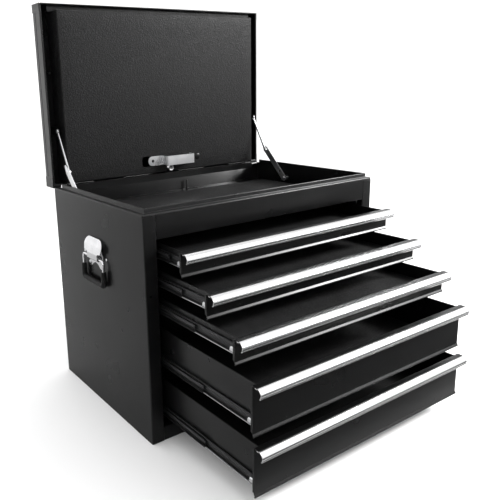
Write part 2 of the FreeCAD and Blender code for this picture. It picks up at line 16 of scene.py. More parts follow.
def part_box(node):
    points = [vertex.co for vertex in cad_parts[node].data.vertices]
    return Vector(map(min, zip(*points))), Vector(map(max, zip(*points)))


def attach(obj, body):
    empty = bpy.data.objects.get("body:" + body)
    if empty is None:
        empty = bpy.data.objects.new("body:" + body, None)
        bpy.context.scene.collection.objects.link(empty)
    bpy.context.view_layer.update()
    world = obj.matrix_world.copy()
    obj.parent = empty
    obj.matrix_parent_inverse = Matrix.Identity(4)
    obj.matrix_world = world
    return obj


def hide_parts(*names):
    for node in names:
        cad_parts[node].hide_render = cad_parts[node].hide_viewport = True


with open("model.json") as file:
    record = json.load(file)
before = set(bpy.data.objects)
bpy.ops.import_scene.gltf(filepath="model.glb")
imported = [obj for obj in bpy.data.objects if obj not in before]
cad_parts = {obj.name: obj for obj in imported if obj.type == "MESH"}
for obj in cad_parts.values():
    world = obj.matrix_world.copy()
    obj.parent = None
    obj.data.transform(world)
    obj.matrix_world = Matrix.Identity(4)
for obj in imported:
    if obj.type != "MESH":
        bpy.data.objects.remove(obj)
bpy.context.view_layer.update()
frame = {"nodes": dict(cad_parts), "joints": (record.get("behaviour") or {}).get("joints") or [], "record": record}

MM = 0.001
NODES = frame["nodes"]
DRAWERS = (1, 2, 3, 4, 5)
SIDES = {"left": -1, "right": 1}
SHARP = math.radians(32)
SHEET = 1.2 * MM
SKIN = SHEET / 2  # from a sheet's face to its middle
FRONT_SHEET = 1.5 * MM
HANDLE_SHEET = 1.5 * MM
FOLD_RADIUS = 2.2 * MM


def joint_place(name):
    return Vector(next(joint["pos_m"] for joint in frame["joints"] if joint["name"] == name))


# ---------------------------------------------------------------- outlines

TINY = 1e-9
NEARLY_STRAIGHT = math.pi - 0.02
LEG_SHARE = 0.49
SHARPEST_MITRE = 0.3


def corner_arc(before, here, after, radius, turns):
    """The arc that rounds one corner, or the corner alone where there is nothing to round."""
    back, ahead = before - here, after - here
    if min(back.length, ahead.length) < TINY:
        return [here]
    turn = back.angle(ahead)
    if turn > NEARLY_STRAIGHT:
        return [here]
    reach = min(radius / math.tan(turn / 2), LEG_SHARE * back.length, LEG_SHARE * ahead.length)
    arc_radius = reach * math.tan(turn / 2)
    inward = (back.normalized() + ahead.normalized()).normalized()
    centre = here + inward * (arc_radius / math.sin(turn / 2))
    first = here + back.normalized() * reach - centre
    last = here + ahead.normalized() * reach - centre
    return [centre + first.lerp(last, step / turns).normalized() * arc_radius for step in range(turns + 1)]


def rounded(points, radius, turns=5, closed=False):
    """The same line with an arc of this radius at each corner, or a smaller one where a leg is short."""
    path = [Vector(point) for point in points]
    made = []
    for index, here in enumerate(path):
        if not closed and index in (0, len(path) - 1):
            made.append(here)
        else:
            made += corner_arc(path[index - 1], here, path[(index + 1) % len(path)], radius, turns)
    return made


def offsets(path, distance):
    """The path moved sideways, to its left as it runs, with mitred corners."""
    steps = [(end - start).normalized() for start, end in zip(path, path[1:])]
    moved = []
    for point, before, after in zip(path, steps[:1] + steps, steps + steps[-1:]):
        normal = Vector((-before.y - after.y, before.x + after.x)).normalized()
        stretch = max(SHARPEST_MITRE, normal.dot(Vector((-before.y, before.x))))
        moved.append(point + normal * (distance / stretch))
    return moved


def ribbon(points, thickness, radius, turns=5):
    """Closed outline of bent sheet: this line is its middle, with corners of this radius."""
    path = rounded(points, radius, turns)
    return offsets(path, thickness / 2) + offsets(path, -thickness / 2)[::-1]


def disc(radius, count=32):
    angles = [2 * math.pi * n / count for n in range(count)]
    return [Vector((radius * math.cos(angle), radius * math.sin(angle))) for angle in angles]


def path_length(path):
    return sum((end - start).length for start, end in zip(path, path[1:]))


# ---------------------------------------------------------------- meshes

WELD_DISTANCE = 1e-7
AXIS_RADIUS = 1e-5


def mesh_object(name, bm):
    bmesh.ops.remove_doubles(bm, verts=bm.verts, dist=WELD_DISTANCE)
    bmesh.ops.recalc_face_normals(bm, faces=bm.faces)
    mesh = bpy.data.meshes.new(name)
    bm.to_mesh(mesh)
    bm.free()
    made = bpy.data.objects.new(name, mesh)
    bpy.context.scene.collection.objects.link(made)
    return made


def in_space(axis, along, point):
    """Puts a flat point and its place along an axis into space."""
    across, up = point
    return {"x": (along, across, up), "y": (across, along, up), "z": (across, up, along)}[axis]


def add_loft(bm, loops, wrap_loops=False, cap=True):
    """Skin over loops with the same number of points each."""
    rows = [[bm.verts.new(point) for point in loop] for loop in loops]
    pairs = list(zip(rows, rows[1:]))
    if wrap_loops:
        pairs.append((rows[-1], rows[0]))
    for one, other in pairs:
        count = len(one)
        for index in range(count):
            following = (index + 1) % count
            bm.faces.new((one[index], one[following], other[following], other[index]))
    if cap and not wrap_loops:
        bm.faces.new(rows[0][::-1])
        bm.faces.new(rows[-1])


def add_prism(bm, outline, axis, start, end):
    add_loft(bm, [[in_space(axis, along, point) for point in outline] for along in (start, end)])


def prism(name, outline, axis, start, end):
    bm = bmesh.new()
    add_prism(bm, outline, axis, start, end)
    return mesh_object(name, bm)


def add_block(bm, low, high):
    outline = [(low[0], low[1]), (high[0], low[1]), (high[0], high[1]), (low[0], high[1])]
    add_prism(bm, outline, "z", low[2], high[2])


def add_lathe(bm, profile, centre, axis, count=32):
    """Turns a profile of (radius, height) points about an axis through the centre. A point on the axis gets
    a very small radius, so that its loop keeps its points."""
    turn = Vector((0, 0, 1)).rotation_difference(Vector(axis)).to_matrix()
    loops = []
    for radius, height in profile:
        loops.append([Vector(centre) + turn @ Vector((point.x, point.y, height))
                      for point in disc(max(radius, AXIS_RADIUS), count)])
    add_loft(bm, loops)


def add_tube(bm, points, radii, count):
    """A round bar along a line in space; it keeps its twist from one point to the next."""
    path = [Vector(point) for point in points]
    tangents = [(after - before).normalized() for before, after in zip(path[:1] + path, path[1:] + path[-1:])]
    side = tangents[0].orthogonal().normalized()
    loops = []
    for point, tangent, size in zip(path, tangents, radii):
        side = (side - tangent * side.dot(tangent)).normalized()
        other = tangent.cross(side)
        loops.append([point + (side * flat.x + other * flat.y) * size for flat in disc(1, count)])
    add_loft(bm, loops)


def add_bent_strip(bm, axis, path, thickness, middle, half_width):
    """Sheet bent along a flat path, whose half width may change along it; axis is the way it is wide."""
    near = offsets(path, thickness / 2)
    far = offsets(path, -thickness / 2)
    length = 0.0
    loops = []
    for index, point in enumerate(path):
        if index:
            length += (point - path[index - 1]).length
        half = half_width(length)
        corners = ((near[index], -half), (near[index], half), (far[index], half), (far[index], -half))
        loops.append([in_space(axis, middle + along, flat) for flat, along in corners])
    add_loft(bm, loops)


def stations(path, spacing):
    """The path with extra points, so that a width can change smoothly along it."""
    made = [path[0]]
    for start, end in zip(path, path[1:]):
        steps = max(1, int((end - start).length / spacing))
        made += [start.lerp(end, (step + 1) / steps) for step in range(steps)]
    return made


def apply_modifiers(thing):
    bpy.context.view_layer.update()
    evaluated = thing.evaluated_get(bpy.context.evaluated_depsgraph_get())
    mesh = bpy.data.meshes.new_from_object(evaluated)
    old = thing.data
    thing.modifiers.clear()
    thing.data = mesh
    bpy.data.meshes.remove(old)
    mesh.name = thing.name


def punch(thing, bm):
    """Cuts the shape in bm out of this object."""
    tool = mesh_object("punch_tool", bm)
    cutting = thing.modifiers.new("punch", "BOOLEAN")
    cutting.operation = "DIFFERENCE"
    cutting.solver = "EXACT"
    cutting.object = tool
    apply_modifiers(thing)
    mesh = tool.data
    bpy.data.objects.remove(tool)
    bpy.data.meshes.remove(mesh)


def ease(thing, width):
    """Rounds the sharp edges a little, as paint and press tools leave them."""
    bevel = thing.modifiers.new("eased_edges", "BEVEL")
    bevel.width = width
    bevel.segments = 2
    bevel.limit_method = "ANGLE"
    bevel.angle_limit = SHARP
    bevel.use_clamp_overlap = True
    bevel.harden_normals = True


def smooth(thing, angle=SHARP):
    mesh = thing.data
    mesh.polygons.foreach_set("use_smooth", [True] * len(mesh.polygons))
    mesh.set_sharp_from_angle(angle=angle)


# ---------------------------------------------------------------- materials

TEXTURE_LOW, TEXTURE_HIGH = 0.3, 0.7
EVEN = (1, 1, 1)


def new_material(name, metallic, specular=0.5):
    material = bpy.data.materials.new(name)
    material.use_nodes = True
    shader = material.node_tree.nodes["Principled BSDF"]
    shader.inputs["Metallic"].default_value = metallic
    shader.inputs["Specular IOR Level"].default_value = specular
    return material, material.node_tree, shader


def coordinates(tree, stretch):
    """Place in the object, in metres, stretched along each axis."""
    where = tree.nodes.new("ShaderNodeTexCoord")
    mapping = tree.nodes.new("ShaderNodeMapping")
    mapping.inputs["Scale"].default_value = stretch
    tree.links.new(where.outputs["Object"], mapping.inputs["Vector"])
    return mapping.outputs["Vector"]


def noise(tree, scale, detail, stretch=EVEN):
    texture = tree.nodes.new("ShaderNodeTexNoise")
    texture.inputs["Scale"].default_value = scale
    texture.inputs["Detail"].default_value = detail
    tree.links.new(coordinates(tree, stretch), texture.inputs["Vector"])
    return texture.outputs["Fac"]


def cells(tree, scale, feature="F1"):
    texture = tree.nodes.new("ShaderNodeTexVoronoi")
    texture.feature = feature
    texture.inputs["Scale"].default_value = scale
    tree.links.new(coordinates(tree, EVEN), texture.inputs["Vector"])
    return texture


def vary_roughness(tree, shader, value, low, high):
    """Maps a texture's value on to a range of roughness."""
    mapped = tree.nodes.new("ShaderNodeMapRange")
    mapped.inputs["From Min"].default_value = TEXTURE_LOW
    mapped.inputs["From Max"].default_value = TEXTURE_HIGH
    mapped.inputs["To Min"].default_value = low
    mapped.inputs["To Max"].default_value = high
    tree.links.new(value, mapped.inputs["Value"])
    tree.links.new(mapped.outputs["Result"], shader.inputs["Roughness"])


def vary_colour(tree, shader, value, dark, light, from_low=TEXTURE_LOW, from_high=TEXTURE_HIGH):
    """Maps a texture's value on to a colour between two."""
    ramp = tree.nodes.new("ShaderNodeValToRGB")
    ends = ramp.color_ramp.elements
    for end, place, colour in ((ends[0], from_low, dark), (ends[1], from_high, light)):
        end.position = place
        end.color = (*colour, 1)
    tree.links.new(value, ramp.inputs["Fac"])
    tree.links.new(ramp.outputs["Color"], shader.inputs["Base Color"])


def add_bump(tree, shader, height, strength, distance, after=None):
    """Bump from a texture's value, on top of an earlier bump where there is one."""
    bump = tree.nodes.new("ShaderNodeBump")
    bump.inputs["Strength"].default_value = strength
    bump.inputs["Distance"].default_value = distance
    tree.links.new(height, bump.inputs["Height"])
    if after is not None:
        tree.links.new(after.outputs["Normal"], bump.inputs["Normal"])
    tree.links.new(bump.outputs["Normal"], shader.inputs["Normal"])
    return bump


def powder_coat():
    """Satin black powder coat with a faint orange peel."""
    material, tree, shader = new_material("powder_coat_black", 0.0, 0.26)
    vary_colour(tree, shader, noise(tree, 9.0, 2.0), (0.0022, 0.0022, 0.0023), (0.0036, 0.0036, 0.0037))
    vary_roughness(tree, shader, noise(tree, 12.0, 2.0), 0.27, 0.31)
    add_bump(tree, shader, noise(tree, 240.0, 1.0), 0.05, 0.4 * MM)
    return material


def hammered_coat():
    """Black coat with a fine hammered texture and small bright grains."""
    material, tree, shader = new_material("hammered_coat_black", 0.0, 0.11)
    dark, grain = (0.004, 0.004, 0.0041), (0.030, 0.030, 0.0305)
    vary_colour(tree, shader, noise(tree, 430.0, 2.0), dark, grain, 0.54, 0.72)
    vary_roughness(tree, shader, noise(tree, 40.0, 4.0), 0.40, 0.52)
    dimples = add_bump(tree, shader, cells(tree, 330.0).outputs["Distance"], 0.6, 0.7 * MM)
    add_bump(tree, shader, noise(tree, 1400.0, 2.0), 0.25, 0.3 * MM, dimples)
    return material


def pull_aluminium():
    """Bright anodised extrusion with drawing lines along its length."""
    material, tree, shader = new_material("pull_aluminium", 1.0)
    lines = noise(tree, 60.0, 4.0, (0.05, 40.0, 40.0))
    clouds = noise(tree, 3.0, 3.0, (1.0, 30.0, 30.0))
    vary_roughness(tree, shader, lines, 0.20, 0.30)
    vary_colour(tree, shader, clouds, (0.62, 0.62, 0.625), (0.70, 0.70, 0.70))
    add_bump(tree, shader, lines, 0.06, 0.1 * MM)
    return material


def zinc_plate():
    """Bright zinc with faint rolling marks and a few dull patches."""
    material, tree, shader = new_material("zinc_plate_bright", 1.0)
    vary_colour(tree, shader, noise(tree, 30.0, 3.0), (0.60, 0.61, 0.62), (0.70, 0.70, 0.71))
    vary_roughness(tree, shader, noise(tree, 20.0, 1.0), 0.26, 0.32)
    add_bump(tree, shader, noise(tree, 120.0, 1.0), 0.02, 0.1 * MM)
    return material


def black_zinc():
    """Dark rolled slide steel, oiled, with streaks along the travel."""
    material, tree, shader = new_material("black_zinc_rolled", 0.85)
    streaks = noise(tree, 40.0, 4.0, (20.0, 0.6, 20.0))
    vary_colour(tree, shader, streaks, (0.018, 0.018, 0.019), (0.045, 0.045, 0.046))
    vary_roughness(tree, shader, streaks, 0.28, 0.44)
    add_bump(tree, shader, streaks, 0.05, 0.1 * MM)
    return material


def chrome_plate():
    """Nickel-chrome over pressed steel: bright, slightly hazed."""
    material, tree, shader = new_material("chrome_plate", 1.0)
    vary_roughness(tree, shader, noise(tree, 90.0, 4.0), 0.09, 0.22)
    vary_colour(tree, shader, noise(tree, 45.0, 3.0), (0.60, 0.60, 0.61), (0.72, 0.72, 0.73))
    add_bump(tree, shader, noise(tree, 70.0, 2.0), 0.06, 0.4 * MM)
    return material


def grip_plastic():
    """Soft black vinyl with a fine moulded grain."""
    material, tree, shader = new_material("grip_vinyl_black", 0.0, 0.12)
    vary_roughness(tree, shader, noise(tree, 120.0, 3.0), 0.38, 0.55)
    vary_colour(tree, shader, noise(tree, 50.0, 3.0), (0.003, 0.003, 0.003), (0.006, 0.006, 0.006))
    add_bump(tree, shader, cells(tree, 1500.0).outputs["Distance"], 0.20, 0.2 * MM)
    return material


def liner_rubber():
    """Dark liner with small raised pips in rows."""
    material, tree, shader = new_material("liner_rubber_dark", 0.0, 0.16)
    pips = cells(tree, 260.0, "SMOOTH_F1")
    pips.inputs["Randomness"].default_value = 0.05
    pips.inputs["Smoothness"].default_value = 0.4
    vary_colour(tree, shader, noise(tree, 25.0, 4.0), (0.006, 0.006, 0.0062), (0.013, 0.013, 0.0132))
    vary_roughness(tree, shader, noise(tree, 300.0, 3.0), 0.52, 0.72)
    coarse = add_bump(tree, shader, pips.outputs["Distance"], 0.5, 0.8 * MM)
    add_bump(tree, shader, noise(tree, 1500.0, 2.0), 0.2, 0.2 * MM, coarse)
    return material


def paper(name, grey):
    """Matt paper of one grey, for the stage."""
    material, _, shader = new_material(name, 0.0, 0.0)
    shader.inputs["Base Color"].default_value = (grey, grey, grey, 1)
    shader.inputs["Roughness"].default_value = 0.9
    return material


MATERIALS = {
    "powder_coat": powder_coat(),
    "textured_coat": hammered_coat(),
    "pull_aluminium": pull_aluminium(),
    "zinc_plate": zinc_plate(),
    "black_zinc": black_zinc(),
    "chrome_plate": chrome_plate(),
    "grip_plastic": grip_plastic(),
    "mat_rubber": liner_rubber(),
}


def dress_cad_nodes():
    """Gives every CAD node its slot's material, welds the split corners and eases the edges."""
    slots = {part["node"]: part["material_slot"] for part in frame["record"]["subparts"]}
    for name, thing in NODES.items():
        thing.data.materials.clear()
        thing.data.materials.append(MATERIALS[slots[name]])
        weld = thing.modifiers.new("weld", "WELD")
        weld.merge_threshold = 0.01 * MM
        ease(thing, 0.25 * MM)
        smooth(thing)


def finish_piece(thing, body, slot, edge, replaces=()):
    """Material, edges eased by this width, the body that carries it and the CAD nodes that it stands for."""
    thing.data.materials.clear()
    thing.data.materials.append(MATERIALS[slot])
    if edge:
        ease(thing, edge)
    smooth(thing)
    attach(thing, body)
    if replaces:
        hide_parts(*replaces)


def rivets(name, points, axis, radius, height, body, slot):
    """Domed rivet heads that stand on a surface, as one piece."""
    sunk = 0.2 * MM
    steps = 6
    angles = [math.pi / 2 * step / steps for step in range(steps + 1)]
    dome = [(radius, -sunk)] + [(radius * math.cos(angle), height * math.sin(angle)) for angle in angles]
    bm = bmesh.new()
    for point in points:
        add_lathe(bm, dome, point, axis, 20)
    finish_piece(mesh_object(name, bm), body, slot, 0)


# ---------------------------------------------------------------- cabinet

# The rim's seam lies this far below the shoulder. Its lip stands in from the cabinet's face, and ends at
# this Y, where the lid's sides begin.
RIM_SEAM = 5 * MM
LIP_INSET = 10.6 * MM
LIP_HEM = 2.1 * MM
LIP_END = 190 * MM
HEM_INSET = 20 * MM
BACK_RIVETS_ACROSS = (40 * MM, 180 * MM, 320 * MM)
BACK_RIVETS_UP = (20 * MM, 455 * MM)


def side_panel(name, side):
    """Wall, rolled front corner, stile and inner fold, bent from one sheet."""
    node = name + "_side_panel"
    low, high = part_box(node)
    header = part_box("header_rail")[1]
    outer = side * (max(abs(low.x), abs(high.x)) - SKIN)
    inner = side * (header.x + SKIN)
    front = low.y + SKIN
    path = [(outer, high.y), (outer, front), (inner, front), (inner, header.y)]
    wall = prism(node + "_formed", ribbon(path, SHEET, FOLD_RADIUS), "z", low.z, high.z - RIM_SEAM)
    finish_piece(wall, "cabinet", "powder_coat", 0.25 * MM, (node,))


def link_inner_face(name, side):
    """Where the lower stay link's face towards the middle of the chest lies."""
    low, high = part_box(name + "_stay_lower")
    return side * min(abs(low.x), abs(high.x))


def stay_stud(name, side):
    """Flanged stud, welded to the wall, that the lower link turns on."""
    wall = side * (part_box("top_rim")[1].x - SHEET)
    at = joint_place(name + "_stay_lower_pivot")
    reach = abs(wall - link_inner_face(name, side))
    flange, pin, head = 6.5 * MM, 2.9 * MM, 5 * MM
    profile = [(flange, 0), (flange, 1.2 * MM), (pin, 1.6 * MM), (pin, reach + 0.3 * MM),
               (head, reach + 0.35 * MM), (head * 0.96, reach + 1.0 * MM), (head * 0.6, reach + 1.7 * MM),
               (0, reach + 1.9 * MM)]
    bm = bmesh.new()
    add_lathe(bm, profile, (wall, at.y, at.z), (-side, 0, 0), 24)
    finish_piece(mesh_object(name + "_stay_stud", bm), "cabinet", "zinc_plate", 0.15 * MM)


def add_rim(bm, section, back):
    """Sweeps a section of (inset, height) points along the left side, the front and the right side."""
    low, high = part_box("top_rim")
    routes = []
    for inset, _ in section:
        left, right, front = low.x + inset, high.x - inset, low.y + inset
        corner = max(FOLD_RADIUS + 2 * MM - inset, 0.6 * MM)
        routes.append(rounded([(left, back), (left, front), (right, front), (right, back)], corner, 6))
    heights = [height for _, height in section]
    add_loft(bm, [[(*point, height) for point, height in zip(points, heights)] for points in zip(*routes)])


def top_rim():
    """Shoulder with a rolled outer edge and a hemmed lip that the lid closes over. Beside the lid only the
    shoulder goes on to the back."""
    low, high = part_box("top_rim")
    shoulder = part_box("header_rail")[1].z + SHEET
    edge = [(SKIN, shoulder - RIM_SEAM - SHEET), (SKIN, shoulder - SKIN)]
    hem = LIP_INSET + LIP_HEM
    lip = edge + [(LIP_INSET, shoulder - SKIN), (LIP_INSET, high.z - SKIN),
                  (hem, high.z - SKIN), (hem, low.z)]
    bm = bmesh.new()
    add_rim(bm, ribbon(lip, SHEET, 2.4 * MM), LIP_END)
    shelf = ribbon(edge + [(LIP_INSET + SKIN, shoulder - SKIN)], SHEET, 1.5 * MM)
    for side in SIDES.values():
        outline = [(side * (high.x - inset), height) for inset, height in shelf]
        add_prism(bm, outline, "y", LIP_END, high.y)
    finish_piece(mesh_object("top_rim_formed", bm), "cabinet", "powder_coat", 0.2 * MM, ("top_rim",))


def front_rail(node, top, fold_at_top):
    """A rail between the stiles with one edge folded back, and rolled at the fold."""
    low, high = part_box(node)
    face = low.y + SKIN
    if fold_at_top:
        path = [(high.y, top - SKIN), (face, top - SKIN), (face, low.z)]
    else:
        path = [(face, top), (face, low.z + SKIN), (high.y, low.z + SKIN)]
    rail = prism(node + "_formed", ribbon(path, SHEET, 1.6 * MM), "x", low.x, high.x)
    finish_piece(rail, "cabinet", "powder_coat", 0, (node,))


def stile_rivet(name, side):
    low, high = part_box("header_rail")
    place = (side * (high.x + 8.6 * MM), low.y, (low.z + high.z) / 2 - 8 * MM)
    rivets(name + "_stile_rivet", [place], (0, -1, 0), 1.6 * MM, 0.7 * MM, "cabinet", "powder_coat")


def back_edge():
    """Strip that closes the gap between the back panel and the open lid, and the back's rivets."""
    low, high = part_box("back_panel")
    bm = bmesh.new()
    add_block(bm, (low.x + HEM_INSET, low.y - 1.0 * MM, high.z - 12 * MM),
              (high.x - HEM_INSET, low.y - 0.3 * MM, high.z + 3.9 * MM))
    finish_piece(mesh_object("back_top_hem", bm), "cabinet", "powder_coat", 0.25 * MM)
    spots = [(side * across, high.y, height) for side in SIDES.values() for across in BACK_RIVETS_ACROSS
             for height in BACK_RIVETS_UP]
    rivets("back_rivets", spots, (0, 1, 0), 2.4 * MM, 0.9 * MM, "cabinet", "powder_coat")


def cabinet():
    for name, side in SIDES.items():
        side_panel(name, side)
    for name, side in SIDES.items():
        stay_stud(name, side)
    top_rim()
    front_rail("header_rail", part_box("header_rail")[1].z - RIM_SEAM, False)
    front_rail("base_rail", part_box("base_rail")[1].z, True)
    for name, side in SIDES.items():
        stile_rivet(name, side)
    back_edge()


# ---------------------------------------------------------------- drawers

# How far the extrusion's middle line lies in front of the drawer's face and below its top, in millimetres.
PULL_LINE = ((6.0, 1.2), (10.4, 1.2), (12.6, -0.8), (15.4, 0.6), (18.6, 3.4), (20.9, 6.8), (21.4, 9.6),
             (20.2, 12.2), (20.4, 14.6), (19.0, 16.6), (17.4, 16.0))


def drawer_front(number):
    """Front with a ledge along its top, a flared lip with a rolled edge, and short end returns."""
    node = f"drawer_{number}_front"
    low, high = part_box(node)
    skin = FRONT_SHEET / 2
    back = high.y
    face = back - FRONT_SHEET
    middle = back - skin
    ledge = face - 12 * MM
    tip = face - 2.2 * MM
    path = [(ledge + 1.2 * MM, high.z - 5.5 * MM), (ledge, high.z - 4.6 * MM), (ledge, high.z - skin),
            (middle, high.z - skin), (middle, low.z + 6.2 * MM), (tip, low.z + 2.4 * MM),
            (tip + 0.3 * MM, low.z + skin), (middle, low.z + skin)]
    bm = bmesh.new()
    add_prism(bm, ribbon(path, FRONT_SHEET, 1.0 * MM), "x", low.x, high.x)
    for side in SIDES.values():
        edge = side * high.x
        left, right = sorted((edge, edge - side * SHEET))
        add_block(bm, (left, back - 0.2 * MM, low.z + 9 * MM), (right, back + 3.4 * MM, high.z - 2 * MM))
    finish_piece(mesh_object(node + "_formed", bm), f"drawer_{number}", "powder_coat", 0.2 * MM, (node,))


def drawer_pull(number):
    """Extrusion that grips the ledge, with a crowned sloping front and a rolled bead."""
    node = f"drawer_{number}_pull"
    low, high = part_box(node)
    line = [(high.y - ahead * MM, high.z - down * MM) for ahead, down in PULL_LINE]
    pull = prism(node + "_extruded", ribbon(line, 1.5 * MM, 1.6 * MM), "x", low.x, high.x)
    finish_piece(pull, f"drawer_{number}", "pull_aluminium", 0.25 * MM, (node,))


def drawer_tray(number):
    """Folded tray: floor and walls with hemmed tops, and a separate folded back."""
    node = f"drawer_{number}_tray"
    low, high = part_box(node)
    hem, drop, fold = 2.0 * MM, 7 * MM, 0.9 * MM
    left, right, floor, top = low.x + SKIN, high.x - SKIN, low.z + SKIN, high.z - SKIN
    path = [(left + hem, top - drop), (left + hem, top), (left, top), (left, floor),
            (right, floor), (right, top), (right - hem, top), (right - hem, top - drop)]
    bm = bmesh.new()
    add_prism(bm, ribbon(path, SHEET, fold), "y", low.y, high.y - SHEET)
    back = high.y - SKIN
    path = [(back - hem, top - drop), (back - hem, top), (back, top), (back, low.z)]
    add_prism(bm, ribbon(path, SHEET, fold), "x", low.x, high.x)
    finish_piece(mesh_object(node + "_formed", bm), f"drawer_{number}", "powder_coat", 0, (node,))


def slide_section(web, mouth, low, high, lip):
    """Rolled channel in an X-Z plane: a web with a rib, two ball races and the lips that hold the balls."""
    inward = 1 if mouth > web else -1
    flat = web + inward * SKIN
    rib = web + inward * (SKIN + 1.1 * MM)
    race = mouth - inward * SKIN
    lip_edge = mouth - inward * 0.4 * MM
    path = [(lip_edge, low + SKIN + lip), (race, low + SKIN), (flat, low + SKIN), (flat, low + 5.5 * MM),
            (rib, low + 7.5 * MM), (rib, high - 7.5 * MM), (flat, high - 5.5 * MM), (flat, high - SKIN),
            (race, high - SKIN), (lip_edge, high - SKIN - lip)]
    return ribbon(path, SHEET, 0.8 * MM, 3)


def slides(number):
    """Inner and middle slide members with their rolled races; the outer members keep their CAD shape."""
    for kind, body, lip, wide in (("inner", f"drawer_{number}", 1.6 * MM, 4.0 * MM),
                                  ("middle", f"middle_slides_{number}", 1.8 * MM, 4.8 * MM)):
        node = f"drawer_{number}_{kind}_slides"
        low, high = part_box(node)
        bm = bmesh.new()
        for side in SIDES.values():
            outer = side * high.x
            section = slide_section(outer - side * wide, outer, low.z, high.z, lip)
            add_prism(bm, section, "y", low.y, high.y)
        finish_piece(mesh_object(node + "_rolled", bm), body, "black_zinc", 0, (node,))


def slide_tabs(number):
    """The bright release tab and the bright runner edge that show on each side of an open drawer."""
    low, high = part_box(f"drawer_{number}_inner_slides")
    body = f"drawer_{number}"
    tab_middle = low.y + 10 * MM
    for name, side in SIDES.items():
        edge = side * high.x
        face = edge - side * 0.2 * MM
        line = [(face, low.z + 2.2 * MM), (face, low.z + 9 * MM), (edge - side * 3.0 * MM, low.z + 11 * MM)]
        path = rounded(line, 1.5 * MM)
        bm = bmesh.new()
        add_bent_strip(bm, "y", path, 1.0 * MM, tab_middle, lambda along: 6 * MM - 0.3 * along)
        finish_piece(mesh_object(f"drawer_{number}_{name}_tab", bm), body, "zinc_plate", 0.2 * MM)
        line = [(edge - side * 1.6 * MM, low.z - 0.9 * MM), (face, low.z - 0.9 * MM),
                (face, low.z + 0.9 * MM)]
        runner = prism(f"drawer_{number}_{name}_runner_edge", ribbon(line, 0.7 * MM, 0.5 * MM, 3), "y",
                       low.y, high.y - 10 * MM)
        finish_piece(runner, body, "zinc_plate", 0)


def drawer(number):
    drawer_front(number)
    drawer_pull(number)
    drawer_tray(number)
    slides(number)
    slide_tabs(number)
    low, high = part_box(f"drawer_{number}_front")
    spots = [(side * 220 * MM, high.y - FRONT_SHEET, low.z + 12 * MM) for side in SIDES.values()]
    rivets(f"drawer_{number}_front_rivets", spots, (0, -1, 0), 1.8 * MM, 0.6 * MM, f"drawer_{number}",
           "powder_coat")


# ---------------------------------------------------------------- lid

# Y of the open lid's rim and of the step behind its panel's top; half the panel's width, and its top.
LID_RIM = 217.3 * MM
BAND_TUCK = 1.0 * MM
PANEL_HALF = 297 * MM
PANEL_TOP = 909 * MM
PANEL_SHELF = 228.3 * MM


def add_pan(bm, low, high, corner, section):
    """A pan with rounded corners. The section is (inset, y) points from the middle of the outer face, round
    the edge and back to the middle of the inner face."""
    loops = []
    for inset, depth in section:
        left, right, bottom, top = low[0] + inset, high[0] - inset, low[1] + inset, high[1] - inset
        corners = [(left, bottom), (right, bottom), (right, top), (left, top)]
        outline = rounded(corners, max(corner - inset, 0.5 * MM), 6, closed=True)
        loops.append([(point.x, depth, point.y) for point in outline])
    add_loft(bm, loops)


def lid_shell():
    """Pan-shaped lid with rolled edges and hemmed flanges."""
    low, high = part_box("lid_shell")
    back = high.y - SKIN
    rim = LID_RIM + SKIN
    hem = SKIN + 2.2 * MM
    path = [(30 * MM, back), (SKIN, back), (SKIN, rim), (hem, rim), (hem, LID_RIM + 9 * MM)]
    bm = bmesh.new()
    add_pan(bm, (low.x, low.z), (high.x, high.z), 4 * MM, ribbon(path, SHEET, 1.8 * MM)[::-1])
    finish_piece(mesh_object("lid_shell_formed", bm), "lid", "powder_coat", 0, ("lid_shell",))


def lid_bands(name, side):
    """Two raised bands down the lid's side, with a groove between them."""
    low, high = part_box("lid_shell")
    edge = side * high.x
    for part, start, end, proud in (("front", LID_RIM + 0.4 * MM, high.y - 18.6 * MM, 1.5 * MM),
                                    ("rear", high.y - 15.4 * MM, high.y - 1.6 * MM, 1.1 * MM)):
        inner, outer = edge - side * BAND_TUCK, edge + side * proud
        outline = [(inner, start), (outer, start), (outer, end), (inner, end)]
        band = prism(f"lid_{name}_{part}_band", outline, "z", low.z + 3 * MM, high.z - 3 * MM)
        finish_piece(band, "lid", "powder_coat", 0.4 * MM)


def lid_corner_tabs(name, side):
    """Tabs over the ends of the lid's side; the low one also turns in under the lid."""
    low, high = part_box("lid_shell")
    edge = side * high.x
    front = LID_RIM + 0.2 * MM
    for part, start, end in (("low", low.z - 6.3 * MM, low.z + 20 * MM),
                             ("high", high.z - 20 * MM, high.z - 0.2 * MM)):
        bm = bmesh.new()
        left, right = sorted((edge - side * BAND_TUCK, edge + side * 2.3 * MM))
        add_block(bm, (left, front, start), (right, high.y - 0.8 * MM, end))
        if part == "low":
            left, right = sorted((edge - side * 20 * MM, edge))
            add_block(bm, (left, front, start), (right, high.y - 2 * MM, low.z + 0.6 * MM))
        finish_piece(mesh_object(f"lid_{name}_{part}_corner_tab", bm), "lid", "powder_coat", 0.8 * MM)


